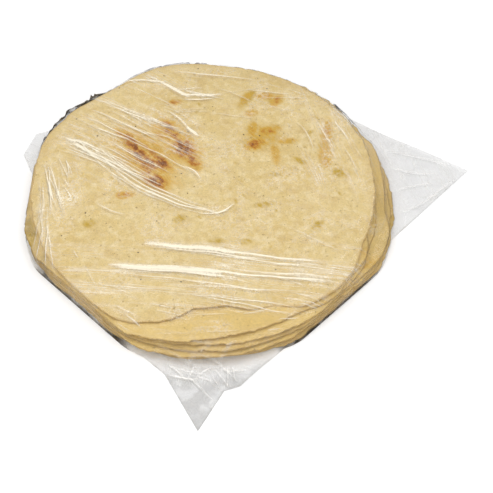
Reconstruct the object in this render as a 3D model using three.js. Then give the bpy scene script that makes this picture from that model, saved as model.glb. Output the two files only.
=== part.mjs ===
// A clear bag of tlayudas: wide, thin corn tortillas, stacked flat and shut in plastic film.
// The film is drawn tight over the stack, so each tortilla's rim shows through it as a step.
// Two corners of the bag lie flat on the table as ears, and a pinch of film stands out behind.
// The bag and what it holds are one solid, whose surface is the outside of the film.
// Millimetres and degrees, +Z up. The origin is on the table, under the middle of the stack.
import * as THREE from "three";

// The stack of tortillas, from the table up: how far each one has slid, and which way
const SLIPS = [
  { bearing: -36, reach: 16 },
  { bearing: 0, reach: 8 },
  { bearing: -98, reach: 14 },
  { bearing: 96, reach: 12 },
  { bearing: -125, reach: 11 },
  { bearing: -156, reach: 14 },
  { bearing: 128, reach: 10 },
];
const TORTILLA_RADIUS = 175;
const TORTILLA_PITCH = 3.85; // one tortilla with the air above it
const RIM_LEVELS = [0.4, 0.8]; // the rim's lower and upper edge, in pitches above the one below
const GROOVE_LEVEL = 1.1;
const GROOVE_DEPTH = 2.5; // how far the film sinks between two rims
const OVAL_SHARE = 0.012; // hand-pressed tortillas are a little oval
const RIPPLE_SHARE = 0.006;
const RIPPLES = 5;
const LAYER_TURN = 137.5; // turns one tortilla's oval from the next, so that they spread evenly
const SWELLS = { count: 3, share: 0.12, start: 40 }; // the rims rise and sag together
const SMALL_SWELLS = { count: 7, share: 0.05, start: 0 };

// The top tortilla is broken away along its front rim
const TOP_RADIUS = 172;
const BREAK = { bearing: -89, depth: 22, lift: 4, widthLeft: 15, widthRight: 34 };
const CENTRE_HEIGHT = 30; // the top of the film over the middle of the stack
const DIMPLES = { count: 4, height: 0.8, twist: 700 }; // shallow hollows in the top tortilla
const TOP_RIM_ROUND = 4;
const TOP_RIM_RISE = 1;

// The bag: film laid flat where it reaches past the stack, each place by its bearing and reach
const FILM_THICKNESS = 1.2; // two leaves of film with the air between them
const FILM_CLEARANCE = 1;
const DRAPE_HEIGHT = 2.2; // the film comes down from the rims to an ear over this height
const HEM_WIDTH = 1;
const FOOT_INSET = 8; // the flat underside ends this far inside the rims
const EAR_LIFT = 4;
const EAR_GROWTH = 20; // an ear this long has its full lift
const EAR_WAVES = 9;
const MOUTH_FOLD = { bearing: 158, halfWidth: 24, depth: 6 };
const TAUT_SIDES = [
  { bearing: -45, offset: 180 },
  { bearing: -134, offset: 178 },
  { bearing: 127, offset: 176.5 },
  { bearing: 178, offset: 183 },
];
const TAUT_SPAN = 80; // a taut side is felt this far to each side of its bearing
const TAUT_BLEND = 3;
const EARS = [
  [
    { bearing: -14.5, reach: 189 },
    { bearing: 8.7, reach: 273 },
    { bearing: 42.5, reach: 188 },
  ],
  [
    { bearing: -113, reach: 186 },
    { bearing: -100.5, reach: 208 },
    { bearing: -91.3, reach: 262 },
    { bearing: -85.6, reach: 222 },
    { bearing: -81.6, reach: 219 },
    { bearing: -64.5, reach: 186 },
  ],
  [
    { bearing: 145, reach: 190 },
    { bearing: 153, reach: 213 },
    { bearing: 162, reach: 210 },
    { bearing: 170, reach: 187 },
  ],
];

// How finely the surface is divided
const SECTORS = 144;
const UNDERSIDE_SHARES = [0.55, 1];
const EAR_SHARES = [0.35, 0.7, 1];
const TOP_SHARES = [0.9, 0.76, 0.58, 0.38, 0.18];

const toRadians = THREE.MathUtils.degToRad;
const wave = (degrees) => Math.sin(toRadians(degrees));
const smooth = (share) => THREE.MathUtils.smoothstep(share, 0, 1);

function pointAt({ bearing, reach }) {
  const angle = toRadians(bearing);
  return new THREE.Vector2(reach * Math.cos(angle), reach * Math.sin(angle));
}

// The signed turn from one bearing to another, between -180 and 180
function turnBetween(from, to) {
  return THREE.MathUtils.euclideanModulo(to - from + 180, 360) - 180;
}

// How much of the broken front rim of the top tortilla is missing at a bearing, 0 to 1
function breakShare(bearing) {
  const turn = turnBetween(BREAK.bearing, bearing);
  const width = turn < 0 ? BREAK.widthLeft : BREAK.widthRight;
  return smooth(1 - Math.abs(turn) / width);
}

function isTop(layer) {
  return layer === SLIPS.length - 1;
}

// From the origin to the rim of one tortilla, along a bearing
function rimReach(layer, bearing) {
  const centre = pointAt(SLIPS[layer]);
  const direction = pointAt({ bearing, reach: 1 });
  const oval = OVAL_SHARE * wave(2 * bearing + layer * LAYER_TURN);
  const ripple = RIPPLE_SHARE * wave(RIPPLES * bearing + 2 * layer * LAYER_TURN);
  const radius = (isTop(layer) ? TOP_RADIUS : TORTILLA_RADIUS) * (1 + oval + ripple);
  const along = centre.dot(direction);
  const across = centre.cross(direction);
  const reach = along + Math.sqrt(radius * radius - across * across);
  return isTop(layer) ? reach - BREAK.depth * breakShare(bearing) : reach;
}

// The smaller of two lengths, with the corner between them rounded off
function softMin(a, b) {
  const share = THREE.MathUtils.clamp(0.5 + (b - a) / (2 * TAUT_BLEND), 0, 1);
  return THREE.MathUtils.lerp(b, a, share) - TAUT_BLEND * share * (1 - share);
}

// Where the taut sides of the bag hold the rims in
function heldIn(reach, bearing) {
  let held = reach;
  for (const side of TAUT_SIDES) {
    const turn = turnBetween(side.bearing, bearing);
    if (Math.abs(turn) > TAUT_SPAN) continue;
    held = softMin(held, side.offset / Math.cos(toRadians(turn)));
  }
  return held;
}

// The film over one rim: close to it, but bunched up where the mouth of the bag is tucked under
function filmReach(layer, bearing) {
  const past = Math.abs(turnBetween(MOUTH_FOLD.bearing, bearing)) / MOUTH_FOLD.halfWidth;
  const bunch = MOUTH_FOLD.depth * smooth(1 - past);
  return heldIn(rimReach(layer, bearing) + FILM_CLEARANCE + bunch, bearing);
}

// The furthest rim at a bearing
function stackReach(bearing) {
  let furthest = 0;
  for (let layer = 0; layer < SLIPS.length; layer++) {
    furthest = Math.max(furthest, filmReach(layer, bearing));
  }
  return furthest;
}

// The height of a point in the stack's side, given as a count of tortillas from the table
function sideHeight(count, bearing) {
  let swell = 1;
  for (const { count: waves, share, start } of [SWELLS, SMALL_SWELLS]) {
    swell += share * wave(waves * bearing + start);
  }
  return count * TORTILLA_PITCH * swell;
}

// How far the film reaches on the table: an ear's straight edges, or a narrow hem
function tableReach(bearing) {
  const hem = stackReach(bearing) + HEM_WIDTH;
  for (const ear of EARS) {
    for (let corner = 0; corner + 1 < ear.length; corner++) {
      const start = ear[corner];
      const past = turnBetween(start.bearing, bearing);
      const span = turnBetween(start.bearing, ear[corner + 1].bearing);
      if (past < 0 || past > span) continue;
      const from = pointAt(start);
      const edge = pointAt(ear[corner + 1]).sub(from);
      const reach = from.cross(edge) / pointAt({ bearing, reach: 1 }).cross(edge);
      return Math.max(hem, reach);
    }
  }
  return hem;
}

// The flat underside ends here, a little inside the rims
function footReach(bearing) {
  return stackReach(bearing) - FOOT_INSET;
}

// The film beside the stack lies on the table and curls up a little towards an ear's edge
function earLift(bearing, reach) {
  const foot = footReach(bearing);
  const table = tableReach(bearing);
  const share = THREE.MathUtils.clamp((reach - foot) / (table - foot), 0, 1);
  const growth = smooth((table - stackReach(bearing) - HEM_WIDTH) / EAR_GROWTH);
  return EAR_LIFT * growth * share * share * (0.5 + 0.5 * wave(EAR_WAVES * bearing));
}

function pointOnFilm(bearing, reach, height) {
  const point = pointAt({ bearing, reach });
  return new THREE.Vector3(point.x, point.y, height + earLift(bearing, reach));
}

function undersideRings(bearings) {
  const flat = UNDERSIDE_SHARES.map((share) =>
    bearings.map((bearing) => pointOnFilm(bearing, share * footReach(bearing), 0)),
  );
  const ears = EAR_SHARES.map((share) =>
    bearings.map((bearing) => {
      const reach = THREE.MathUtils.lerp(footReach(bearing), tableReach(bearing), share);
      return pointOnFilm(bearing, reach, 0);
    }),
  );
  return [...flat, ...ears];
}

// The film comes down from the rims to the table in a curve that spreads out as it lands
function drapedPoint(bearing, reach, height) {
  const spread = Math.exp(-(height - FILM_THICKNESS) / DRAPE_HEIGHT);
  const draped = THREE.MathUtils.lerp(reach, tableReach(bearing), Math.min(spread, 1));
  return pointOnFilm(bearing, draped, height);
}

function rimHeight(layer, level, bearing) {
  const lift = isTop(layer) ? BREAK.lift * breakShare(bearing) : 0;
  return sideHeight(layer + level, bearing) + lift;
}

// The film over the ears and up the side: two rings on each rim and one in each groove above it
function sideRings(bearings) {
  const edge = bearings.map((bearing) =>
    pointOnFilm(bearing, tableReach(bearing), FILM_THICKNESS),
  );
  const rings = [edge];
  for (let layer = 0; layer < SLIPS.length; layer++) {
    for (const level of RIM_LEVELS) {
      const rim = bearings.map((bearing) =>
        drapedPoint(bearing, filmReach(layer, bearing), rimHeight(layer, level, bearing)),
      );
      rings.push(rim);
    }
    if (isTop(layer)) break;
    const groove = bearings.map((bearing) => {
      const nearer = Math.min(filmReach(layer, bearing), filmReach(layer + 1, bearing));
      const height = sideHeight(layer + GROOVE_LEVEL, bearing);
      return drapedPoint(bearing, nearer - GROOVE_DEPTH, height);
    });
    rings.push(groove);
  }
  return rings;
}

// The top tortilla under its film, rising gently from its rim to the middle
function topRings(bearings) {
  const top = SLIPS.length - 1;
  const edgeHeight = (bearing) => rimHeight(top, RIM_LEVELS.at(-1), bearing) + TOP_RIM_RISE;
  const rim = bearings.map((bearing) => {
    const reach = filmReach(top, bearing) - TOP_RIM_ROUND;
    return pointOnFilm(bearing, reach, edgeHeight(bearing));
  });
  const inner = TOP_SHARES.map((share) =>
    bearings.map((bearing) => {
      const level = THREE.MathUtils.lerp(CENTRE_HEIGHT, edgeHeight(bearing), share ** 3);
      const dimple = DIMPLES.height * share * wave(DIMPLES.count * bearing + DIMPLES.twist * share);
      return pointOnFilm(bearing, share * filmReach(top, bearing), level + dimple);
    }),
  );
  return [rim, ...inner];
}

// One closed skin from rings of equal count, with a point closing each end
function skin(rings, first, last) {
  const points = [first, ...rings.flat(), last];
  const count = rings[0].length;
  const at = (row, column) => 1 + row * count + (column % count);
  const faces = [];
  for (let column = 0; column < count; column++) {
    faces.push(0, at(0, column + 1), at(0, column));
    for (let row = 0; row + 1 < rings.length; row++) {
      faces.push(at(row, column), at(row, column + 1), at(row + 1, column + 1));
      faces.push(at(row, column), at(row + 1, column + 1), at(row + 1, column));
    }
    const end = rings.length - 1;
    faces.push(at(end, column), at(end, column + 1), points.length - 1);
  }
  const geometry = new THREE.BufferGeometry().setFromPoints(points);
  geometry.setIndex(faces);
  geometry.computeVertexNormals();
  return geometry;
}

// Even bearings, with the nearest one moved onto each corner of an ear
function columnBearings() {
  const step = 360 / SECTORS;
  const bearings = Array.from({ length: SECTORS }, (_, column) => column * step - 180);
  for (const corner of EARS.flat()) {
    const nearest = Math.round((corner.bearing + 180) / step) % SECTORS;
    bearings[nearest] = corner.bearing;
  }
  return bearings;
}

function bagOfTlayudas() {
  const bearings = columnBearings();
  const rings = [...undersideRings(bearings), ...sideRings(bearings), ...topRings(bearings)];
  const middleTop = new THREE.Vector3(0, 0, CENTRE_HEIGHT);
  const geometry = skin(rings, new THREE.Vector3(0, 0, 0), middleTop);
  const material = new THREE.MeshStandardMaterial({
    color: 0xddc692,
    roughness: 0.35,
    metalness: 0,
  });
  const bag = new THREE.Mesh(geometry, material);
  bag.name = "tlayuda_bag";
  return bag;
}

const part = new THREE.Group();
part.add(bagOfTlayudas());
export default part;
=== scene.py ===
import math

import bpy
import numpy as np
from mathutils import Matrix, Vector
from mathutils.bvhtree import BVHTree
from mathutils.kdtree import KDTree


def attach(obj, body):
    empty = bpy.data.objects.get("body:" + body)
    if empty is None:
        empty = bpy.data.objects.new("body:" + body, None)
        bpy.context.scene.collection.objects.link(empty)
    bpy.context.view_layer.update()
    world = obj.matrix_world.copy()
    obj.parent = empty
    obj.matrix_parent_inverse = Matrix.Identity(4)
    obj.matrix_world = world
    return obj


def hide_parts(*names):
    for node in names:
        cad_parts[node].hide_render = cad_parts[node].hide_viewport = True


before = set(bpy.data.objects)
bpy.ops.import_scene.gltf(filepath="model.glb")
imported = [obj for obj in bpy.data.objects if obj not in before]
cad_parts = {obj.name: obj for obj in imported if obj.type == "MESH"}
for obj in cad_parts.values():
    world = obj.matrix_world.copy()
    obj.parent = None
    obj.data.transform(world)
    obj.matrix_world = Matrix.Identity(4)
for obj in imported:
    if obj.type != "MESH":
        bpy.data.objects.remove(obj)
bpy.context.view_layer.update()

# The tortillas
# Seven wide tortillas of corn dough, pressed thin, dried and toasted on a clay griddle until leathery. They
# lie flat and loose in the bag, each slid a little off the one below. Their rims are thin, wavy and ragged,
# and the top one is broken away along its front rim.
MM = 0.001
# How far each tortilla is slid off the middle, from the table up: bearing in degrees, and mm
SLIPS = ((-36, 16), (0, 8), (-98, 14), (96, 12), (-125, 11), (-156, 14), (128, 10))
TORTILLA_RADIUS = 175 * MM
TOP_RADIUS = 172 * MM
TORTILLA_THICKNESS = 2.6 * MM
RIM_THINNING = 0.4
RIM_PITCH = 3.85 * MM
CENTRE_PITCH = 4.3 * MM
OVAL_SHARE = 0.012
RIPPLE_SHARE = 0.006
LAYER_TURN = math.radians(137.5)
# The broken front rim of the top tortilla: its middle, how far it runs to each side, and its depth
BREAK_BEARING = math.radians(-89)
BREAK_LEFT = math.radians(15)
BREAK_RIGHT = math.radians(34)
BREAK_DEPTH = 22 * MM
BREAK_LIFT = -0.4 * MM
# How far each rim droops past the flap's start, and how high its crumples are, from the table up, in mm
DROOPS = (0, 0.8, 1.4, 1.6, 1.6, 0.8, 0)
CRUMPLES = (0, 2.4, 3.6, 4.0, 4.0, 3.2, 1.6)
FLAP_START = 0.91
TOP_WAVE = 2.0 * MM
LOWER_WAVE = 3.2 * MM
RAGGED = 2.8 * MM
# Sides along which the bag is drawn flat: bearing in degrees, and how far out in mm
TAUT_SIDES = ((-45, 180), (-134, 178), (127, 173.5), (178, 183))
TAUT_GAP = 0.6 * MM
TAUT_BLEND = 3 * MM
TAUT_LEAN = 0.17
# Low relief of the dough: how the stack swells and dips on its way round, and the lumps on each tortilla
SWELL_TURN = math.radians(40)
SWELL_SHARE = 0.12
SWELL_RIPPLE = 0.05
DIMPLE_SPIRAL = math.radians(700)
DIMPLE_STEP = 0.8 * MM / (len(SLIPS) - 1)  # deeper by this with each layer
COARSE_RELIEF = 1.3 * MM
FINE_RELIEF = 0.7 * MM
SECTORS = 541
TOP_ROWS = 161
LOWER_ROWS = 53
MERGE_DISTANCE = 0.01 * MM


class Wire:
    """A socket of a node tree. Sums, products and powers of wires add the Math nodes that work them out."""

    def __init__(self, socket):
        self.socket = socket

    def node(self, kind, settings=None, sockets=None, output=0):
        """Adds a node to this wire's tree, settings first and then its sockets, and gives one output."""
        tree = self.socket.id_data
        made = tree.nodes.new(kind)
        for name, value in (settings or {}).items():
            setattr(made, name, value)
        for name, value in (sockets or {}).items():
            if isinstance(value, Wire):
                tree.links.new(value.socket, made.inputs[name])
            else:
                made.inputs[name].default_value = value
        return Wire(made.outputs[output])

    def parts(self):
        """The x, y and z of this vector."""
        split = self.node("ShaderNodeSeparateXYZ", {}, {"Vector": self})
        return [Wire(socket) for socket in split.socket.node.outputs]

    def feed(self, target):
        self.socket.id_data.links.new(self.socket, target)

    def math(self, operation, *values):
        return self.node("ShaderNodeMath", {"operation": operation}, dict(enumerate((self, *values))))

    def swapped(self, operation, first):
        return self.node("ShaderNodeMath", {"operation": operation}, {0: first, 1: self})

    def __add__(self, value):
        return self.math("ADD", value)

    def __sub__(self, value):
        return self.math("SUBTRACT", value)

    def __mul__(self, value):
        return self.math("MULTIPLY", value)

    def __truediv__(self, value):
        return self.math("DIVIDE", value)

    def __pow__(self, value):
        return self.math("POWER", value)

    def __radd__(self, value):
        return self.swapped("ADD", value)

    def __rsub__(self, value):
        return self.swapped("SUBTRACT", value)

    def __rmul__(self, value):
        return self.swapped("MULTIPLY", value)

    def __rtruediv__(self, value):
        return self.swapped("DIVIDE", value)

    def __abs__(self):
        return self.math("ABSOLUTE")

    def sine(self):
        return self.math("SINE")

    def cosine(self):
        return self.math("COSINE")

    def eased(self, low=0.0, high=1.0):
        """A smooth step from 0 at low to 1 at high."""
        limits = {"Value": self, "From Min": low, "From Max": high}
        return self.node("ShaderNodeMapRange", {"interpolation_type": "SMOOTHSTEP"}, limits)

    def noise(self, scale, detail=2.0, roughness=0.5):
        """Noise between 0 and 1 over this vector."""
        settings = {"Vector": self, "Scale": scale, "Detail": detail, "Roughness": roughness}
        return self.node("ShaderNodeTexNoise", {"noise_dimensions": "3D"}, settings)

    def ridged(self, scale, detail, roughness, sharpness):
        """Thin crests of noise over this vector, between 0 and 1."""
        return (1.0 - abs(self.noise(scale, detail, roughness) * 2.0 - 1.0)) ** sharpness

    def stretched(self, turn, lengths):
        """This vector turned and measured in some lengths, so that noise over it comes out in streaks."""
        streaks = {"Vector": self, "Rotation": (0.0, 0.0, turn), "Scale": lengths}
        return self.node("ShaderNodeMapping", {"vector_type": "TEXTURE"}, streaks)

    def attribute(self, name, output="Fac"):
        return self.node("ShaderNodeAttribute", {"attribute_name": name}, output=output)

    def vector(self, y, z):
        return self.node("ShaderNodeCombineXYZ", {}, {"X": self, "Y": y, "Z": z})


SIZE_INPUTS = (
    "Radius", "Thickness", "Slip X", "Slip Y", "Layer", "Oval Turn", "Break Depth", "Break Lift", "Rim Wave",
    "Droop", "Crumple", "Ragged",
)
TORTILLA_INPUTS = {
    **dict.fromkeys(("Sectors", "Rows"), "NodeSocketInt"),
    **dict.fromkeys(SIZE_INPUTS, "NodeSocketFloat"),
    "Dough": "NodeSocketMaterial",
}


def tortilla_tree():
    """One round of dough on a grid: across the grid runs the bearing, up it the skin from below to above."""
    tree = bpy.data.node_groups.new("tortilla", "GeometryNodeTree")
    for name, kind in TORTILLA_INPUTS.items():
        tree.interface.new_socket(name=name, in_out="INPUT", socket_type=kind)
    tree.interface.new_socket(name="Mesh", in_out="OUTPUT", socket_type="NodeSocketGeometry")
    size = {socket.name: Wire(socket) for socket in tree.nodes.new("NodeGroupInput").outputs if socket.name}
    start, layer = size["Radius"], size["Layer"]
    corners = {"Size X": 1.0, "Size Y": 1.0, "Vertices X": size["Sectors"], "Vertices Y": size["Rows"]}
    grid = start.node("GeometryNodeMeshGrid", {}, corners, "Mesh")
    column, up, _ = start.node("GeometryNodeInputPosition").parts()
    row = up * 2.0

    bearing = (column + 0.5) * (2 * math.pi)
    east, north = bearing.cosine(), bearing.sine()
    share = 1.0 - abs(row) ** 1.5

    around = east.vector(north, layer * 0.2)
    apart = east.vector(north, layer * 3.7)
    turn = size["Oval Turn"]
    oval = (bearing * 2.0 + turn).sine() * OVAL_SHARE + (bearing * 5.0 + turn * 2.0).sine() * RIPPLE_SHARE
    radius = size["Radius"] * (1.0 + oval)
    across = size["Slip X"] * north - size["Slip Y"] * east
    reach = size["Slip X"] * east + size["Slip Y"] * north + (radius * radius - across * across).math("SQRT")
    away = (bearing - BREAK_BEARING).math("WRAP", math.pi, -math.pi)
    left = away.math("LESS_THAN", 0.0)
    broken = (1.0 - abs(away) / (left * BREAK_LEFT + (1.0 - left) * BREAK_RIGHT)).eased()
    reach = reach - broken * size["Break Depth"]
    torn = (apart.noise(6.0, 3.0) - 0.5) * 2.4 + (apart.noise(24.0, 4.0, 0.65) - 0.5) * 1.8
    reach = reach + torn * size["Ragged"]
    for side, offset in TAUT_SIDES:
        lean = (bearing - math.radians(side)).cosine().math("MAXIMUM", TAUT_LEAN)
        reach = reach.math("SMOOTH_MIN", (offset * MM - TAUT_GAP) / lean, TAUT_BLEND)

    x, y = east * reach * share, north * reach * share
    flat = x.vector(y, layer * 0.4)
    swell = 1.0 + (bearing * 3.0 + SWELL_TURN).sine() * SWELL_SHARE + (bearing * 7.0).sine() * SWELL_RIPPLE
    rim = (layer + 0.6) * swell * RIM_PITCH + broken * size["Break Lift"]
    rim = rim + ((around.noise(2.6, 1.0) - 0.5) * 1.3 + (around.noise(9.0, 2.0) - 0.5)) * size["Rim Wave"]
    droop = size["Droop"] * (0.5 + around.noise(3.0, 1.0))
    crumple = (apart.noise(15.0, 3.0, 0.6) - 0.5) * size["Crumple"] * share**24.0
    centre = (layer + 0.5) * CENTRE_PITCH
    level = centre + (rim + droop - centre) * share**4.0 - droop * share.eased(FLAP_START, 1.0) + crumple
    dimples = (bearing * 4.0 + share * DIMPLE_SPIRAL).sine() * share * layer * DIMPLE_STEP
    relief = (flat.noise(34.0, 2.0) - 0.5) * COARSE_RELIEF + (flat.noise(120.0, 2.0) - 0.5) * FINE_RELIEF
    blunt = (1.0 - share**140.0).math("SQRT")
    skin = row.math("SIGN") * blunt * (1.0 - share**12.0 * RIM_THINNING) * size["Thickness"] * 0.5
    z = level + dimples + relief * blunt * layer.math("MINIMUM", 1.0) + skin

    kept = grid
    for name, value in (("share", share), ("layer", layer)):
        stored = {"Geometry": kept, "Name": name, "Value": value}
        kept = start.node("GeometryNodeStoreNamedAttribute", {"data_type": "FLOAT"}, stored)
    moved = start.node("GeometryNodeSetPosition", {}, {"Geometry": kept, "Position": x.vector(y, z)})
    closed = start.node("GeometryNodeMergeByDistance", {}, {"Geometry": moved, "Distance": MERGE_DISTANCE})
    smooth = start.node("GeometryNodeSetShadeSmooth", {}, {"Geometry": closed})
    whole = start.node("GeometryNodeRealizeInstances", {}, {"Geometry": smooth})
    dough = start.node("GeometryNodeSetMaterial", {}, {"Geometry": whole, "Material": size["Dough"]})
    dough.feed(tree.nodes.new("NodeGroupOutput").inputs[0])
    return tree


def placed(name, data):
    """A new object in the scene."""
    made = bpy.data.objects.new(name, data)
    bpy.context.scene.collection.objects.link(made)
    return made


def grown(name, tree, values):
    """A plain mesh object made by a node tree, whose inputs are set by their identifiers."""
    piece = placed(name, bpy.data.meshes.new(name))
    modifier = piece.modifiers.new("grow", "NODES")
    modifier.node_group = tree
    for item in tree.interface.items_tree:
        if item.in_out == "INPUT":
            modifier[item.identifier] = values[item.name]
    evaluated = piece.evaluated_get(bpy.context.evaluated_depsgraph_get())
    mesh = bpy.data.meshes.new_from_object(evaluated)
    piece.modifiers.remove(modifier)
    piece.data = mesh
    return piece


def srgb(red, green, blue):
    """A colour as a photo gives it, 0 to 255, turned into the linear colour that a shader takes."""
    shares = [value / 255 for value in (red, green, blue)]
    linear = [s / 12.92 if s <= 0.04045 else ((s + 0.055) / 1.055) ** 2.4 for s in shares]
    return (*linear, 1.0)


def mixed(share, first, second):
    """A colour between two others."""
    return share.node("ShaderNodeMix", {"data_type": "RGBA"}, {0: share, 6: first, 7: second}, 2)


def new_material(name):
    """An empty material, a wire on its output from which its nodes are made, and the object's coordinates."""
    material = bpy.data.materials.new(name)
    material.use_nodes = True
    tree = material.node_tree
    tree.nodes.remove(tree.nodes["Principled BSDF"])
    surface = Wire(tree.nodes["Material Output"].inputs["Surface"])
    return material, surface, surface.node("ShaderNodeTexCoord", output="Object")


DOUGH_CREAM = srgb(219, 196, 139)
DOUGH_WHEAT = srgb(212, 185, 120)
DOUGH_PALE = srgb(231, 212, 167)
DOUGH_TAN = srgb(203, 175, 115)
DOUGH_RIM = srgb(198, 166, 102)
DOUGH_EDGE_AND_SHADE = srgb(182, 148, 86)
DOUGH_UNDER = srgb(216, 184, 106)
DOUGH_FLECK = srgb(120, 94, 52)
TOAST_GOLD = srgb(202, 158, 54)
TOAST_BROWN = srgb(175, 107, 8)
TOAST_DARK = srgb(126, 67, 0)
MAIZE_YELLOW = srgb(187, 153, 44)
CHAR_SPECK = srgb(70, 52, 28)
TOAST_TURN = math.radians(-48)
TOAST_STREAK = (0.02, 0.005, 0.01)  # metres
CHAR_SPECKS = 55.0  # to a metre
YELLOWER_BELOW = 5.5  # layers
DOUGH_BUMP = 0.6 * MM


def dough_material():
    material, surface, spot = new_material("toasted_corn_dough")
    layer, share = surface.attribute("layer"), surface.attribute("share")
    toast, maize = surface.attribute("toast"), surface.attribute("maize")
    apart = (layer * 0.37 + 0.21).vector(layer * 0.23 + 0.43, layer * 0.19 + 0.11)
    dough = surface.node("ShaderNodeVectorMath", {"operation": "ADD"}, {0: spot, 1: apart})

    cloud = dough.noise(19.0, 4.0, 0.6)
    blotch = dough.noise(130.0, 4.0, 0.65)
    mottle = dough.noise(75.0, 5.0, 0.7)
    grain = dough.noise(700.0, 3.0, 0.65)
    fleck = dough.noise(300.0, 2.0, 0.6)
    pepper = dough.noise(900.0, 1.0, 0.5)
    streak = dough.stretched(TOAST_TURN, TOAST_STREAK).noise(1.0, 4.0, 0.65)
    crumb = dough.noise(260.0, 3.0, 0.6)
    ground = mixed(cloud.eased(0.3, 0.75), DOUGH_CREAM, DOUGH_WHEAT)
    ground = mixed(blotch.eased(0.42, 0.7) * 0.75, ground, DOUGH_PALE)
    ground = mixed(mottle.eased(0.46, 0.7) * 0.7, ground, DOUGH_TAN)
    ground = mixed(layer.math("LESS_THAN", YELLOWER_BELOW) * 0.7, ground, DOUGH_UNDER)
    ground = mixed(share**40.0 * blotch.eased(0.3, 0.62) * 0.7, ground, DOUGH_RIM)
    # The very edge of each rim is browner, partly the dough's own darker edge and partly painted shade for
    # the thin dark line under each rim
    ground = mixed(share.eased(0.99, 0.999) * (0.2 + crumb), ground, DOUGH_EDGE_AND_SHADE)
    ripe = (maize * (streak * 1.6 + blotch * 1.6 + grain * 0.6 - 1.1)).eased(0.2, 0.9)
    ground = mixed(ripe, ground, MAIZE_YELLOW)
    heat = toast * (streak * 2.7 + crumb * 1.9 + blotch * 0.6 + grain * 0.8 - 2.0)
    ground = mixed(heat.eased(0.05, 0.4) * 0.85, ground, TOAST_GOLD)
    ground = mixed(heat.eased(0.35, 0.85) * 0.9, ground, TOAST_BROWN)
    ground = mixed(heat.eased(0.75, 1.25), ground, TOAST_DARK)
    ground = mixed(fleck.eased(0.66, 0.74) * 0.6, ground, DOUGH_FLECK)
    ground = mixed(pepper.eased(0.68, 0.76) * 0.45, ground, DOUGH_FLECK)
    char = surface.node("ShaderNodeTexVoronoi", {}, {"Vector": dough, "Scale": CHAR_SPECKS}, "Distance")
    ground = mixed(1.0 - char.eased(0.035, 0.06), ground, CHAR_SPECK)
    shaded = {"data_type": "RGBA", "blend_type": "MULTIPLY"}
    colour = surface.node("ShaderNodeMix", shaded, {0: 1.0, 6: ground, 7: 0.68 + grain * 0.64}, 2)

    height = grain * 0.3 + blotch * 0.7 + crumb * share**30.0 - heat.eased(0.3, 0.9) * 0.3
    bump = surface.node("ShaderNodeBump", {}, {"Strength": 0.8, "Distance": DOUGH_BUMP, "Height": height})
    finish = {"Base Color": colour, "Roughness": 0.75 + (grain - 0.5) * 0.25, "Normal": bump}
    surface.node("ShaderNodeBsdfPrincipled", {}, finish).feed(surface.socket)
    return material


# Marks of the griddle on the top tortilla: middle x and y, length and width in mm, turn in degrees, strength
TOAST_MARKS = (
    (-66, 40, 84, 46, -50, 0.5),
    (-36, 60, 70, 34, -52, 0.5),
    (-87, 66, 30, 13, -42, 0.8),
    (-75, 46, 42, 17, -50, 1.0),
    (-63, 29, 32, 15, -50, 1.0),
    (-50, 31, 19, 11, -50, 1.1),
    (-56, 8, 32, 17, -48, 1.0),
    (-45, 79, 24, 14, -45, 0.85),
    (-37, 66, 24, 12, -50, 0.7),
    (-28, 51, 30, 20, -55, 1.1),
    (-18, 35, 26, 14, -60, 0.8),
    (-39, 117, 12, 8, 0, 0.6),
    (-85, -12, 17, 8, 8, 0.75),
    (54, 66, 44, 40, 0, 0.25),
    (44, 76, 22, 9, 90, 0.5),
    (60, 75, 24, 12, 20, 0.6),
    (47, 56, 20, 13, 30, 0.75),
    (67, 44, 28, 9, 95, 0.45),
    (80, 61, 22, 8, 5, 0.35),
    (58, 126, 18, 9, 0, 0.5),
    (70, 119, 18, 10, 60, 0.55),
    (43, 101, 12, 9, 0, 0.5),
    (36, 122, 26, 10, 60, 0.3),
    (121, 70, 40, 11, 84, 0.45),
    (119, 40, 28, 12, 84, 0.55),
)
# Spots where the maize is greener: rows like those of the griddle's marks
MAIZE_MARKS = (
    (38, 122, 34, 14, 60, 1.0),
    (60, 120, 40, 18, 0, 0.7),
    (54, 66, 50, 40, 0, 0.7),
    (60, 75, 28, 16, 20, 1.1),
    (47, 56, 24, 17, 30, 1.1),
    (44, 76, 26, 12, 90, 1.0),
    (120, 55, 70, 18, 84, 0.8),
    (92, 33, 20, 8, -30, 1.0),
    (66, 15, 18, 8, 0, 0.8),
    (54, -25, 24, 8, 10, 0.9),
    (82, 60, 20, 9, 0, 0.8),
    (134, 17, 20, 14, 0, 1.0),
    (108, -49, 18, 8, 40, 0.9),
    (-118, -47, 16, 12, 0, 0.9),
    (-28, -43, 14, 16, 0, 0.9),
    (9, -71, 20, 9, 0, 0.9),
    (36, -71, 20, 9, 0, 0.8),
)
# Bounds of the small maize flecks on the top one and of the faint spots on the others, drawn by chance
FLECK_BOUNDS = ((-20, -80, 5, 3, -90, 0.5), (155, 125, 13, 6, 90, 0.95))
SPOT_BOUNDS = ((-180, -130, 14, 8, 0, 0.1), (180, 180, 40, 18, 180, 0.26))
MAIZE_FLECKS = 46
SPOTS = 40
TOASTED_SPOTS = 28
# Darker patches of two lower tortillas that show at the bag's corners: layer, then like the other marks
CORNER_MARKS = {0: (180, -40, 60, 20, 78, 0.7), 5: (-178, -62, 50, 22, 75, 0.8)}


def marked(points, marks):
    """How strongly each point lies in one of some soft oval marks."""
    strength = np.zeros(len(points))
    for x, y, length, width, turn, depth in marks:
        angle = math.radians(turn)
        away = points[:, :2] - np.array((x, y)) * MM
        along = (away[:, 0] * math.cos(angle) + away[:, 1] * math.sin(angle)) / (length * MM / 2)
        across = (away[:, 1] * math.cos(angle) - away[:, 0] * math.sin(angle)) / (width * MM / 2)
        strength = np.maximum(strength, depth * np.exp(-((along**2 + across**2) ** 1.2) * 0.7))
    return strength


def vertex_places(mesh):
    places = np.empty(len(mesh.vertices) * 3)
    mesh.vertices.foreach_get("co", places)
    return places.reshape(-1, 3)


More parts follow.
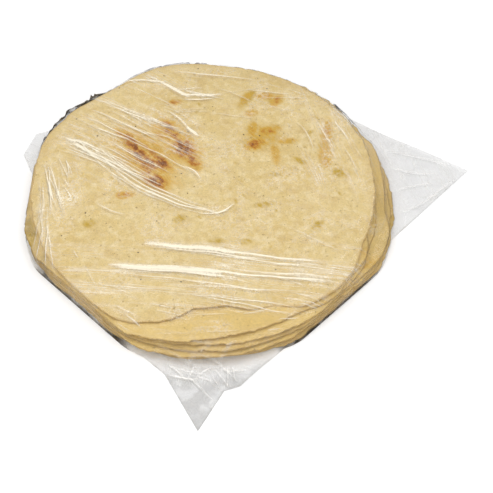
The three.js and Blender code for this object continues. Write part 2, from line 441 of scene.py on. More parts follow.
def store(mesh, name, kind, values):
    """Keeps one value for each vertex of a mesh as a named attribute."""
    attribute = mesh.attributes.new(name, kind, "POINT")
    attribute.data.foreach_set("value" if kind == "FLOAT" else "vector", np.ravel(values).astype(np.float32))


# Where the photo shows rims right at the film: bearing, and reach in mm
LOWER_FILL = (
    (-180, 178), (-172, 182), (-165, 186), (-159, 188), (-154, 186.5), (-150, 184), (-141, 178.8),
    (-134, 177.6), (-126, 179.3), (-119, 183), (-112, 187), (-100, 189), (-84, 189), (-72, 187), (-66, 185),
    (-60, 185), (-53, 181.2), (-45, 179.6), (-39, 180.6), (-30, 185), (-22, 188), (-14, 187), (-6, 180),
    (10, 180), (22, 184), (32, 178), (49, 181), (57, 185), (78, 186), (98, 183), (110, 175), (130, 150),
    (170, 150), (180, 178),
)
UPPER_FILL = (
    (-180, 150), (-72, 150), (-62, 174), (-53, 178), (-45, 178), (-39, 178), (-30, 177), (-15, 165),
    (0, 150), (90, 150), (98, 172), (110, 173.5), (127, 172), (135, 173), (143, 176), (150, 180),
    (156, 182.5), (162, 182.5), (168, 181), (180, 150),
)
TOP_FILL = (
    (-180, 176), (-165, 177), (-150, 177.5), (-134, 176), (-119, 180), (-113, 177), (-109, 172),
    (-104.5, 168), (-99, 150), (-82, 146), (-75, 153.5), (-66, 156), (-57, 170), (-45, 175), (-35, 173),
    (-15, 160), (0, 150), (60, 172), (75, 178), (85, 181), (95, 182), (105, 182), (110, 180), (119, 176),
    (127, 173), (135, 174), (143, 177.5), (150, 182), (156, 184.5), (162, 184.5), (168, 182), (175, 179),
    (180, 176),
)
FILLS = (LOWER_FILL,) * 4 + (UPPER_FILL,) * 2 + (TOP_FILL,)
FILL_SLACK = 1.8 * MM
RIM_SHARE = 0.9999


def rim_shares(mesh):
    """How far out a tortilla's vertices are, from 0 in the middle to 1 at the rim."""
    share = np.empty(len(mesh.vertices))
    mesh.attributes["share"].data.foreach_get("value", share)
    return share


def rim_reach(mesh, bearings):
    """How far out a tortilla's rim is at some bearings in degrees."""
    rim = vertex_places(mesh)[rim_shares(mesh) > RIM_SHARE]
    own = np.degrees(np.arctan2(rim[:, 1], rim[:, 0]))
    order = np.argsort(own)
    return np.interp(bearings, own[order], np.hypot(rim[:, 0], rim[:, 1])[order], period=360)


def filled(mesh, fill, short, waves, start):
    """Draws a tortilla's rim out to a fill line, less some wavy slack, where it falls short of that line."""
    places = vertex_places(mesh)
    bearing = np.degrees(np.arctan2(places[:, 1], places[:, 0]))
    slack = short * (1 + np.sin(np.radians(bearing) * waves + start))
    line = np.interp(bearing, *np.array(fill).T) * MM - slack
    stretch = 1 + (np.maximum(line / rim_reach(mesh, bearing), 1) - 1) * rim_shares(mesh) ** 6
    places[:, :2] *= stretch[:, None]
    mesh.vertices.foreach_set("co", places.ravel())
    mesh.update()


dough = dough_material()
tree = tortilla_tree()
chance = np.random.default_rng(7)
tortillas = []
for layer, (bearing, slip) in enumerate(SLIPS):
    top = layer == len(SLIPS) - 1
    values = {
        "Sectors": SECTORS,
        "Rows": TOP_ROWS if top else LOWER_ROWS,
        "Radius": TOP_RADIUS if top else TORTILLA_RADIUS,
        "Thickness": TORTILLA_THICKNESS,
        "Slip X": slip * MM * math.cos(math.radians(bearing)),
        "Slip Y": slip * MM * math.sin(math.radians(bearing)),
        "Layer": float(layer),
        "Oval Turn": layer * LAYER_TURN,
        "Break Depth": BREAK_DEPTH if top else 0.0,
        "Break Lift": BREAK_LIFT if top else 0.0,
        "Rim Wave": (TOP_WAVE if top else LOWER_WAVE) * min(layer, 1),
        "Droop": DROOPS[layer] * MM,
        "Crumple": CRUMPLES[layer] * MM,
        "Ragged": RAGGED,
        "Dough": dough,
    }
    tortilla = grown(f"tortilla_{layer + 1}", tree, values)
    slack = 0.0 if top else FILL_SLACK * chance.uniform(0.4, 1)
    filled(tortilla.data, FILLS[layer], slack, chance.integers(7, 19), chance.uniform(0, 2 * math.pi))
    places = vertex_places(tortilla.data)
    if top:
        flecks = chance.uniform(*FLECK_BOUNDS, (MAIZE_FLECKS, 6))
        toast, maize = TOAST_MARKS, np.concatenate((MAIZE_MARKS, flecks))
    else:
        spots = chance.uniform(*SPOT_BOUNDS, (SPOTS, 6))
        corner = [CORNER_MARKS[layer]] if layer in CORNER_MARKS else np.empty((0, 6))
        toast, maize = spots[:TOASTED_SPOTS], np.concatenate((spots[TOASTED_SPOTS:], corner))
    store(tortilla.data, "toast", "FLOAT", marked(places, toast))
    store(tortilla.data, "maize", "FLOAT", marked(places, maize))
    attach(tortilla, "root")
    tortillas.append(tortilla)

# The bag
# One clear bag of thin film, shut round the stack and drawn tight: it bridges from rim to rim and lies in
# long fine creases over the top. Two corners lie flat on the table as ears, a pinch stands out at the left,
# and the mouth is bunched and tucked under at the back left.
FILM_CLEARANCE = 0.5 * MM
FILM_COLUMNS = 540
SKIN_ROWS = 165
UNDER_ROWS = 13
UNDER_LIFT = 0.05 * MM
# Bearings in degrees of the film's corners, at each of which a column of the film stands
EAR_CORNERS = (-14.5, 8.7, 42.5, -113, -100.5, -91.3, -85.6, -81.6, -64.5, 145, 153, 162, 170)
EAR_STATIONS = 24
EAR_GAP = 0.8 * MM
# How far from the stack and how high over the table the film lands, and the least room left to its edge
LANDING = 7 * MM
LANDING_HEIGHT = 2.2 * MM
LANDING_ROOM = 0.3 * MM
WELD = 0.4 * MM
SAG_LIMIT = 9 * MM
SAG_SHARE = 0.95
SAG_PROBE = 12 * MM
SAG_ROUNDS = 4
KEEP_OFF = 0.35 * MM
LOOSE_COLUMNS = 2
LOOSE_ROUNDS = 6
# Where the mouth and the slack film at the back are: bearing and half width in degrees, and how fast they end
MOUTH_BEARING = 144
MOUTH_WIDTH = 24
MOUTH_FADE = 2.5
BACK_BEARING = 74
BACK_WIDTH = 56
BACK_FADE = 3
BACK_STAND_OFF = 1.9 * MM
FAR_OUT = 0.3
FAR_UP = 0.1
COLUMN_START = 0.37

stack = []
faces = []
for tortilla in tortillas:
    first = len(stack)
    stack.extend(vertex_places(tortilla.data).tolist())
    faces.extend([first + corner for corner in face.vertices] for face in tortilla.data.polygons)
stack_tree = BVHTree.FromPolygons(stack, faces)
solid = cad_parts["tlayuda_bag"].data
solid_faces = [face.vertices[:] for face in solid.polygons]
solid_tree = BVHTree.FromPolygons(vertex_places(solid).tolist(), solid_faces)

bearings = (np.arange(FILM_COLUMNS) + COLUMN_START) * (360 / FILM_COLUMNS) - 180
for corner in EAR_CORNERS:
    bearings[np.argmin(abs(bearings - corner))] = corner
bearings = np.radians(bearings)
outward = np.stack((np.cos(bearings), np.sin(bearings)), axis=1)


def reach_at(tree, column, height):
    """How far out a shape reaches at a height, or 0 where it isn't met."""
    x, y = outward[column] * FAR_OUT
    hit = tree.ray_cast(Vector((x, y, height)), Vector((-x, -y, 0)).normalized(), FAR_OUT)
    return 0.0 if hit[0] is None else FAR_OUT - hit[3]


def height_at(tree, column, reach, below=False):
    """How high a shape's upper or lower side is at a reach, or nothing past its edge."""
    x, y = outward[column] * reach
    start = Vector((x, y, -FAR_UP if below else FAR_UP))
    hit = tree.ray_cast(start, Vector((0, 0, 1 if below else -1)), 2 * FAR_UP)
    return None if hit[0] is None else hit[0].z


def measured(measure, tree, stations):
    """A shape's reach or height at each station and each column, or 0 where it isn't met."""
    columns = range(FILM_COLUMNS)
    return np.array([[measure(tree, column, station) or 0.0 for column in columns] for station in stations])


def smoothed(field):
    return (np.roll(field, 1, axis=1) + 2 * field + np.roll(field, -1, axis=1)) / 4


def loosened(field, width, rounds):
    """The largest value near each column, smoothed round the stack."""
    wide = field.copy()
    for step in range(-width, width + 1):
        wide = np.maximum(wide, np.roll(field, step, axis=1))
    for _ in range(rounds):
        wide = smoothed(wide)
    return wide


edge_heights = np.arange(0.3, 6.5, 0.4) * MM
side_heights = np.arange(1.0, 40.0, 1.0) * MM
top_reaches = np.arange(0.0, 200.0, 3.0) * MM
outline = measured(reach_at, solid_tree, edge_heights).max(axis=0)
sides = loosened(measured(reach_at, stack_tree, side_heights), LOOSE_COLUMNS, LOOSE_ROUNDS)
tops = loosened(measured(height_at, stack_tree, top_reaches), LOOSE_COLUMNS, LOOSE_ROUNDS)
tops[0] = tops[0].max()
stack_reach = sides.max(axis=0)
turned = np.degrees(bearings)
top_reach = rim_reach(tortillas[-1].data, turned)
edge = outline - WELD
landing = np.minimum(edge - LANDING_ROOM, stack_reach + LANDING)

# Knots of gathered film at the mouth: bearing and half width in degrees, and how far they stand off in mm
KNOTS = ((136, 2.2, 4.5), (141, 1.6, 1.0), (145.5, 2.6, 2.2), (150, 1.6, 0.8))
# The film hangs off the rims above this height, wherever the stack is met at this reach or more
HANGING_FOOT = 12 * MM
LEAST_REACH = 100 * MM

# Where the mouth is tucked under, the film stands off the rims as the solid does. Knots stand off further.
mouth = np.clip((1 - abs(turned - MOUTH_BEARING) / MOUTH_WIDTH) * MOUTH_FADE, 0, 1)
stand_off = np.maximum(measured(reach_at, solid_tree, side_heights) - 2 * FILM_CLEARANCE - sides, 0)
ruffle = 0.5 + 0.2 * np.sin(turned * 0.7 + 2) + 0.15 * np.sin(turned * 1.9 + 1)
knots = sum(stand * MM * np.exp(-(((turned - bearing) / width) ** 2)) for bearing, width, stand in KNOTS)
back = np.clip((1 - abs(turned - BACK_BEARING) / BACK_WIDTH) * BACK_FADE, 0, 1)
hanging = (sides > LEAST_REACH) & (side_heights > HANGING_FOOT)[:, None]
sides = sides + np.maximum(mouth * stand_off * ruffle, back * BACK_STAND_OFF * hanging) + knots * hanging


def upper_hull(points):
    """The taut line over some points, from the first to the last along their reach."""
    hull = []
    for point in sorted(points):
        while len(hull) > 1:
            (x0, z0), (x1, z1) = hull[-2], hull[-1]
            if (x1 - x0) * (point[1] - z0) < (z1 - z0) * (point[0] - x0):
                break
            hull.pop()
        hull.append(point)
    return np.array(hull)


def ear_line(column):
    """Reach and height of the upper leaf, from where the film lands beside the stack to its edge."""
    share = np.linspace(0.0, 1.0, EAR_STATIONS)
    reach = landing[column] + (edge[column] - landing[column]) * share
    under = np.array([height_at(solid_tree, column, place, below=True) or 0.0 for place in reach])
    rise = LANDING_HEIGHT * (1 - share) ** 4 + EAR_GAP * (1 - share**2)
    return np.stack((reach, under + rise), axis=1)


skin_reach = np.zeros((SKIN_ROWS, FILM_COLUMNS))
skin_height = np.zeros_like(skin_reach)
for column in range(FILM_COLUMNS):
    ear = ear_line(column)
    end, floor = ear[0]
    points = []
    for reach, height in zip(top_reaches, tops[:, column]):
        if height > 0 and reach < end:
            points.append((reach, height + FILM_CLEARANCE))
    for height, reach in zip(side_heights, sides[:, column]):
        if 0 < reach < end - FILM_CLEARANCE and height > floor:
            points.append((reach + FILM_CLEARANCE, height))
    points.append((end, floor))
    line = np.concatenate((upper_hull(points), ear[1:]))
    length = np.concatenate(((0.0,), np.cumsum(np.hypot(*np.diff(line, axis=0).T))))
    stops = np.linspace(0.0, length[-1], SKIN_ROWS + 1)[1:]
    skin_reach[:, column] = np.interp(stops, length, line[:, 0])
    skin_height[:, column] = np.interp(stops, length, line[:, 1])

# The film sinks into the gaps that it bridges, but not on the side of the stack at the mouth
SIDE_START = 6 * MM
SIDE_FADE = 5 * MM
FLAT_ENOUGH = 0.5
lean_reach = np.gradient(skin_reach, axis=0)
lean_height = np.gradient(skin_height, axis=0)
lean = np.hypot(lean_reach, lean_height)
normal_reach, normal_height = -lean_height / lean, lean_reach / lean
sag = np.zeros_like(skin_reach)
for column in range(FILM_COLUMNS):
    for row in range(SKIN_ROWS):
        if skin_reach[row, column] > stack_reach[column]:
            break
        x, y = outward[column] * skin_reach[row, column]
        nx, ny = outward[column] * normal_reach[row, column]
        inwards = Vector((-nx, -ny, -normal_height[row, column]))
        hit = stack_tree.ray_cast(Vector((x, y, skin_height[row, column])), inwards, SAG_PROBE)
        gap = SAG_PROBE if hit[0] is None else max(hit[3] - KEEP_OFF, 0)
        sag[row, column] = SAG_LIMIT * (1 - math.exp(-gap * SAG_SHARE / SAG_LIMIT))
for _ in range(SAG_ROUNDS):
    beside = smoothed(sag)
    above = np.concatenate((beside[:1], (beside[:-2] + 2 * beside[1:-1] + beside[2:]) / 4, beside[-1:]))
    sag = np.minimum(sag, above)
at_side = np.clip((skin_reach - (stack_reach - SIDE_START)) / SIDE_FADE, 0, 1)
sag *= 1 - mouth * at_side
skin_reach -= normal_reach * sag
skin_height -= normal_height * sag
for column in range(FILM_COLUMNS):
    for row in range(SKIN_ROWS):
        reach, height = skin_reach[row, column], skin_height[row, column]
        if normal_height[row, column] > FLAT_ENOUGH:
            dough_height = height_at(stack_tree, column, reach)
            if dough_height is not None:
                skin_height[row, column] = max(height, dough_height + KEEP_OFF)
        else:
            skin_reach[row, column] = max(reach, reach_at(stack_tree, column, height) + KEEP_OFF)

# The knots also stand up over the top rim, in a lip just outside it
LIP_OFFSET = 3.5 * MM
LIP_WIDTH = 3 * MM
LIP_SHARE = 0.9
lip = np.exp(-(((skin_reach - top_reach - LIP_OFFSET) / LIP_WIDTH) ** 2))
skin_height += knots * lip * LIP_SHARE

under_share = 1 - np.linspace(0.0, 1.0, UNDER_ROWS + 2)[1:-1] ** 1.5
under_reach = edge * under_share[:, None]
under_height = np.array([
    [height_at(solid_tree, column, row[column], below=True) or 0.0 for column in range(FILM_COLUMNS)]
    for row in under_reach
])
rings = np.concatenate((
    np.stack((skin_reach, skin_height), axis=2),
    np.stack((under_reach, under_height + UNDER_LIFT), axis=2),
))
film = np.concatenate((rings[:, :, :1] * outward[None], rings[:, :, 1:]), axis=2)

# Creases that show in the photo: both ends in mm, bow, half width and height in mm, and how strong the
# painted glint along each is
CREASES = (
    (-150, 58, -66, 6, 3, 1.8, 0.8, 0.9),
    (-146, 62, -60, 8, 3, 1.4, 0.6, 0.6),
    (-140, 60, -52, 6, 4, 1.4, 0.6, 0.5),
    (-126, 55, 8, -35, -12, 2.0, 1.0, 0.9),
    (-122, 60, 4, -30, -12, 1.4, 0.7, 0.6),
    (-116, 58, -4, -26, -11, 1.4, 0.7, 0.6),
    (-130, 50, 0, -38, -13, 1.6, 0.7, 0.7),
    (-104, 29, -34, -21, -6, 3.0, 1.0, 0.8),
    (-150, 66, -96, 24, -2, 3.0, 1.0, 0.8),
    (-62, -6, 10, -35, -5, 2.4, 0.9, 0.9),
    (-112, -22, -82, -37, -3, 2.2, 0.8, 0.9),
    (-48, 105, -16, 68, 2, 2.2, 0.9, 0.9),
    (-26, 80, -12, 66, 0, 3.4, 0.9, 0.8),
    (-28, 25, -9, 8, 3, 2.2, 0.8, 0.9),
    (6, -37, 25, -24, -2, 2.0, 0.8, 1.0),
    (-10, -36, 20, -31, -3, 1.6, 0.7, 0.8),
    (-150, 62, -118, 50, 2, 2.6, 0.9, 0.9),
    (-148, 54, -112, 36, -2, 1.6, 0.7, 0.8),
    (-138, 62, -122, 40, 0, 1.6, 0.7, 0.7),
    (-12, -29, 24, -24, -3, 2.0, 0.9, 0.9),
    (-155, 48, -98, 24, 0, 1.6, 0.7, 0.6),
    (-120, 118, -44, 82, 2, 1.6, 0.7, 0.6),
    (-116, 112, -14, 64, 2, 1.8, 0.8, 0.7),
    (-103, 72, -8, 10, 2, 1.8, 0.8, 0.6),
    (-108, 94, -30, 48, 2, 1.6, 0.7, 0.5),
    (-98, 145, -49, 147, 2, 2.2, 0.9, 0.9),
    (-56, 147, -22, 123, 0, 4.4, 1.2, 1.0),
    (-30, 134, 14, 122, 0, 1.6, 0.7, 0.7),
    (-34, 128, 12, 130, -2, 3.4, 1.1, 1.0),
    (-30, 120, 4, 124, -2, 2.0, 0.8, 0.8),
    (-44, 164, 54, 151, 3, 3.0, 1.0, 0.6),
    (-62, -73, 118, -96, 0, 2.6, 1.1, 1.0),
    (-62, -73, 30, -84, 0, 6.5, 1.3, 0.95),
    (-56, -77, 60, -93, 0, 1.8, 0.7, 0.9),
    (-20, -84, 126, -104, 0, 1.8, 0.7, 0.7),
    (-96, -99, 130, -117, 0, 2.6, 1.1, 1.0),
    (-96, -99, 16, -109, 0, 6.5, 1.3, 0.95),
    (30, -105, 132, -112, 0, 2.4, 0.9, 0.8),
    (44, -110, 126, -116, 0, 1.6, 0.7, 0.6),
    (-88, -102, 30, -114, 0, 1.8, 0.7, 0.9),
    (-50, -106, 120, -122, 0, 1.8, 0.7, 0.7),
    (-90, -108, 60, -128, 0, 2.2, 0.8, 0.5),
    (-40, -122, 100, -128, 0, 2.2, 0.7, 0.5),
    (89, 89, 107, 46, 4, 1.8, 0.6, 0.5),
    (5, 38, 41, -9, 0, 1.4, 0.4, 0.35),
    (78, -52, 132, -84, 0, 1.8, 0.6, 0.5),
    # On the two ears
    (-44, -180, 12, -196, -6, 2.2, 0.9, 0.8),
    (-32, -203, 2, -206, -4, 2.0, 0.8, 0.6),
    (-8, -190, 29, -210, 5, 2.2, 0.9, 0.8),
    (12, -198, 30, -178, 3, 2.0, 0.8, 0.7),
    (-10, -210, 22, -198, 6, 2.0, 0.8, 0.6),
    (180, 72, 255, 44, 4, 2.4, 0.5, 0.4),
    (186, 48, 240, 40, -4, 2.4, 0.5, 0.4),
    (190, -16, 252, 30, -4, 2.4, 0.5, 0.4),
    (184, 10, 236, 26, 4, 2.4, 0.4, 0.4),
)
CREASE_WANDER = 0.4 * MM
CREASE_WAVES = 130  # radians to a metre
LINE_CHANNELS = 12
LINE_BAND = 9.0  # mm
LINE_MARGIN = 3.6  # mm
LINE_FADE = 1.5 * MM
LINE_SHARE = 0.62
GLOW_WIDTH = 3.0  # mm


def ridges(points, creases):
    """How far long creases lift the film at some points, and how strong the painted glint on their crests is.

    Creases that keep clear of each other share a channel, which gives each point's distance from its line,
    how strong that line's painted glint is there, and its half width. A shader paints them finer than the
    mesh is.
    """
    lift = np.zeros(len(points))
    glint_crest = np.zeros(len(points))
    lines = np.zeros((LINE_CHANNELS, len(points), 3))
    lines[:, :, 0] = LINE_BAND
    for x0, y0, x1, y1, bow, width, height, glint in creases:
        start, run = np.array((x0, y0)) * MM, np.array((x1 - x0, y1 - y0)) * MM
        length = np.hypot(*run)
        away = points[:, :2] - start
        along = (away @ run) / length**2
        inside = np.clip(along, 0, 1)
        bend = bow * MM * 4 * inside * (1 - inside) + CREASE_WANDER * np.sin(inside * length * CREASE_WAVES)
        across = (run[0] * away[:, 1] - run[1] * away[:, 0]) / length - bend
        fade = np.sin(np.pi * inside) ** 0.6
        shape = np.exp(-((across / (width * MM)) ** 2))
        lift = np.maximum(lift, height * MM * shape * fade)
        half = width * LINE_SHARE
        band = min(half + LINE_MARGIN, LINE_BAND)
        beside = (abs(across) < band * MM) & (fade > 0)
        free = [channel for channel in lines if not (channel[beside, 0] < LINE_BAND).any()]
        if free:
            drawn = np.clip((band * MM - abs(across[beside])) / LINE_FADE, 0, 1)
            free[0][beside, 0] = across[beside] / MM
            free[0][beside, 1] = glint * drawn * fade[beside]
            free[0][beside, 2] = half
        if width > GLOW_WIDTH or not free:
            glint_crest = np.maximum(glint_crest, glint * shape**2 * fade)
    return lift, glint_crest, lines


# Families of finer creases: the low and high corner of the area that they start in and their shortest and
# longest in mm, their turn and its spread in degrees, how many there are, height in mm, and painted glint
# strength
FINE_FAMILIES = (
    ((-110, -135), (0, -60), (70, 150), -5, 3, 14, 0.6, 0.6),
    ((-150, 20), (-90, 110), (40, 100), -31, 4, 26, 0.6, 0.7),
    ((-176, -50), (-158, 40), (25, 70), -82, 6, 18, 0.5, 0.8),
    ((-166, -10), (-148, 40), (14, 40), -66, 8, 16, 0.4, 0.7),
    ((100, 30), (140, 120), (18, 50), -78, 16, 18, 0.5, 0.6),
    ((60, -140), (125, -80), (20, 60), -25, 20, 14, 0.5, 0.6),
    ((-60, 100), (60, 150), (25, 60), -8, 12, 12, 0.5, 0.6),
    ((-130, 60), (-20, 150), (15, 40), -30, 25, 20, 0.5, 0.6),
    ((-50, -205), (30, -182), (14, 50), -20, 35, 18, 0.5, 0.6),
    ((185, -20), (235, 70), (25, 60), 20, 25, 8, 0.4, 0.3),
)
# Short creases that run round beside the rims: how many, and the bounds of their bearing, reach and length
RIM_CREASES = 70
RIM_CREASE_BEARINGS = (-150, 60)
RIM_CREASE_REACHES = (152, 182)  # mm
RIM_CREASE_LENGTHS = (12, 36)  # mm
RIM_CREASE_HEIGHT = 0.5  # mm


def fine_creases(chance):
    """The finer creases, drawn by chance, in rows like those of CREASES."""
    made = []
    for low, high, (short, long), turn, spread, count, height, glint in FINE_FAMILIES:
        for _ in range(count):
            x, y = chance.uniform(low, high)
            angle = math.radians(chance.normal(turn, spread))
            length = chance.uniform(short, long)
            x1, y1 = x + length * math.cos(angle), y + length * math.sin(angle)
            bow, width = chance.normal(0, length / 45), chance.uniform(1.0, 1.8)
            rise, glint_level = height * chance.uniform(0.5, 1), glint * chance.uniform(0.4, 1.2)
            made.append((x, y, x1, y1, bow, width, rise, glint_level))
    for _ in range(RIM_CREASES):
        bearing = math.radians(chance.uniform(*RIM_CREASE_BEARINGS))
        reach = chance.uniform(*RIM_CREASE_REACHES)
        x, y = reach * math.cos(bearing), reach * math.sin(bearing)
        length = chance.uniform(*RIM_CREASE_LENGTHS)
        angle = bearing + math.pi / 2 + math.radians(chance.normal(0, 9))
        x1, y1 = x + length * math.cos(angle), y + length * math.sin(angle)
        width, glint_level = chance.uniform(1.0, 1.6), chance.uniform(0.2, 0.6)
        made.append((x, y, x1, y1, -length / 60, width, RIM_CREASE_HEIGHT, glint_level))
    return made


EDGE_FADE = 6 * MM
# Below this height, on the side of the stack, lines keep this share of their strength
SIDE_TOP = 19 * MM
SIDE_LINES = 0.25

rows = len(film)
creases = [*CREASES, *fine_creases(np.random.default_rng(21))]
lift, glint_crest, lines = ridges(film.reshape(-1, 3), creases)
upper = np.clip((edge - rings[:, :, 0]) / EDGE_FADE, 0, 1) * (np.arange(rows) < SKIN_ROWS)[:, None]
lift, glint_crest = (field.reshape(rows, FILM_COLUMNS) * upper for field in (lift, glint_crest))
normal = np.cross(np.gradient(film, axis=0), np.roll(film, -1, axis=1) - np.roll(film, 1, axis=1))
normal /= np.linalg.norm(normal, axis=2)[:, :, None] + 1e-12
film += normal * lift[:, :, None]
on_side = (rings[:, :, 1] < SIDE_TOP) & (rings[:, :, 0] < landing)
lines[:, :, 1] *= (upper * np.where(on_side, SIDE_LINES, 1)).ravel()

# Where the film is painted dark: the bunched film of the mouth, its feet, partly bunched film and partly
# painted shade, and painted shade where its back edge and two corners lie in shade: bearing and half width in
# degrees, strength, and the heights in mm between which it fades in
BUNCHES_AND_SHADES = (
    (MOUTH_BEARING, 22, 1.0, (17, 23)),
    (BACK_BEARING, BACK_WIDTH, 0.55, (18, 21)),
    (-134, 22, 1.0, (3.2, 2.2)),
    (-48, 22, 1.0, (3.2, 2.2)),
    (-163, 18, 0.22, (4, 10)),
    (-12, 18, 0.08, (4, 10)),
)
BUNCH_FADE = 2.5
BUNCH_START = 0.4 * MM
BUNCH_RISE = 1.5 * MM
# Painted shade: a dark line along the outermost rim at the back right, where the far side lies in shade:
# bearing and half width in degrees, and strength
RIM_SHADE_LINE = (52, 34, 0.8)
RIM_SHADE_RISE = 1 * MM
RIM_SHADE_FOOT = 8 * MM
# Where the two leaves of an ear look a little greyer: its bearing in degrees, and strength
EAR_GREYS = ((-90, 0.1), (14, 0.02))
EAR_HALF_WIDTH = 30
EAR_FADE = 12 * MM
bunch_and_shade = np.zeros((rows, FILM_COLUMNS))
past_rim = np.clip((rings[:, :, 0] - (top_reach + BUNCH_START)) / BUNCH_RISE, 0, 1)
for bearing, width, strength, (none, full) in BUNCHES_AND_SHADES:
    away = abs((turned - bearing + 180) % 360 - 180) / width
    near = np.clip((1 - away) * BUNCH_FADE, 0, 1) * strength
    level = np.clip((rings[:, :, 1] / MM - none) / (full - none), 0, 1)
    bunch_and_shade = np.maximum(bunch_and_shade, near[None] * past_rim * level)
bearing, width, strength = RIM_SHADE_LINE
outer_rim = np.clip((rings[:, :, 0] - stack_reach) / RIM_SHADE_RISE, 0, 1) * (rings[:, :, 1] > RIM_SHADE_FOOT)
near = np.clip((1 - abs(turned - bearing) / width) * BUNCH_FADE, 0, 1)
bunch_and_shade = np.maximum(bunch_and_shade, outer_rim * near * strength)
ear = np.clip((rings[:, :, 0] - landing) / EAR_FADE, 0, 1)
for bearing, strength in EAR_GREYS:
    bunch_and_shade = np.maximum(bunch_and_shade, ear * (abs(turned - bearing) < EAR_HALF_WIDTH) * strength)

corners = np.concatenate(((film[0].mean(axis=0),), film.reshape(-1, 3), ((0.0, 0.0, UNDER_LIFT),)))


def ring_faces(rows, columns):
    """Faces of a closed skin of rings, with a point at each end."""
    made = []
    last = rows * columns + 1
    for column in range(columns):
        beside = (column + 1) % columns
        made.append((0, 1 + column, 1 + beside))
        for row in range(rows - 1):
            here, there = 1 + row * columns, 1 + (row + 1) * columns
            made.append((here + column, there + column, there + beside, here + beside))
        end = 1 + (rows - 1) * columns
        made.append((end + column, last, end + beside))
    return made


# Dough that would stick out of the film is drawn back towards the nearest dough that lies inside it
TUCK_STEPS = 10
TUCK_LIMIT = 4 * MM
PROBE = Vector((0.31, 0.17, 0.93)).normalized()
PROBE_STEP = 0.0003 * MM
film_faces = ring_faces(rows, FILM_COLUMNS)
film_triangles = [(face[0], *pair) for face in film_faces for pair in zip(face[1:], face[2:])]
film_tree = BVHTree.FromPolygons(corners.tolist(), film_triangles)


def in_bag(point):
    """Whether a straight line from a point to far outside passes through the film an odd number of times."""
    inside = False
    hit = film_tree.ray_cast(point, PROBE)[0]
    while hit is not None:
        inside = not inside
        hit = film_tree.ray_cast(hit + PROBE * PROBE_STEP, PROBE)[0]
    return inside


for tortilla in tortillas:
    stray = []
    kept = KDTree(len(tortilla.data.vertices))
    for vertex in tortilla.data.vertices:
        near_film = film_tree.find_nearest(vertex.co, TUCK_LIMIT)[0] is not None
        if near_film and not in_bag(vertex.co):
            stray.append(vertex)
        else:
            kept.insert(vertex.co, vertex.index)
    kept.balance()
    for vertex in stray:
        home = kept.find(vertex.co)[0]
        for step in range(TUCK_STEPS - 1, -1, -1):
            place = home.lerp(vertex.co, step / TUCK_STEPS)
            if in_bag(place):
                break
        vertex.co = place
    tortilla.data.update()

# The squiggles of the crushed patch get a painted glint
CRUSHED = (-0.14, -0.013, 0.024)  # metres, middle x and y of a crushed patch, and its reach
# Fine pulled lines, bumped into the film and also given a painted glint: their turn in degrees, then the
# bounds of x and of y in metres between which they fade in
PULLS = (
    (-6, (-0.4, -0.3), (-0.06, -0.085)),
    (-31, (0.02, -0.05), (-0.03, 0.02)),
    (-72, (0.07, 0.12), (-0.03, 0.02)),
)
PULL_END = (-0.158, -0.142)  # metres
PULL_LINE = (0.11, 0.0042, 0.03)  # metres
PULL_BUNDLE = (0.09, 0.016, 0.03)  # metres
FILM_BUMP = 0.35 * MM
FILM_SHINE = 0.025
GRAZING_SHINE = 0.35
FILM_TINT = (0.945, 0.945, 0.945, 1.0)
FILM_GLOSS = (0.97, 0.965, 0.95, 1.0)
# Tones of the dark film, which is bunched film at the mouth and painted shade elsewhere
BUNCH_SHADE_DARK = srgb(34, 28, 18)
BUNCH_SHADE_GREY = srgb(100, 86, 62)
# Painted highlights on the creases: their colour, creamier inwards and whiter out towards the rim, how far
# out that change runs, their limit, where they are calmed near the rim, and the soft painted glow round each
# line
GLEAM_CREAM = srgb(252, 243, 220)
GLEAM_WHITE = srgb(250, 248, 243)
GLEAM_BOUNDS = (165 * MM, 185 * MM)
GLEAM_LIMIT = 0.85
CALM_BOUNDS = (168 * MM, 178 * MM)
CALM_SHARE = 0.75
HALO_WIDTH = 3.0  # mm
HALO_SHARE = 0.1


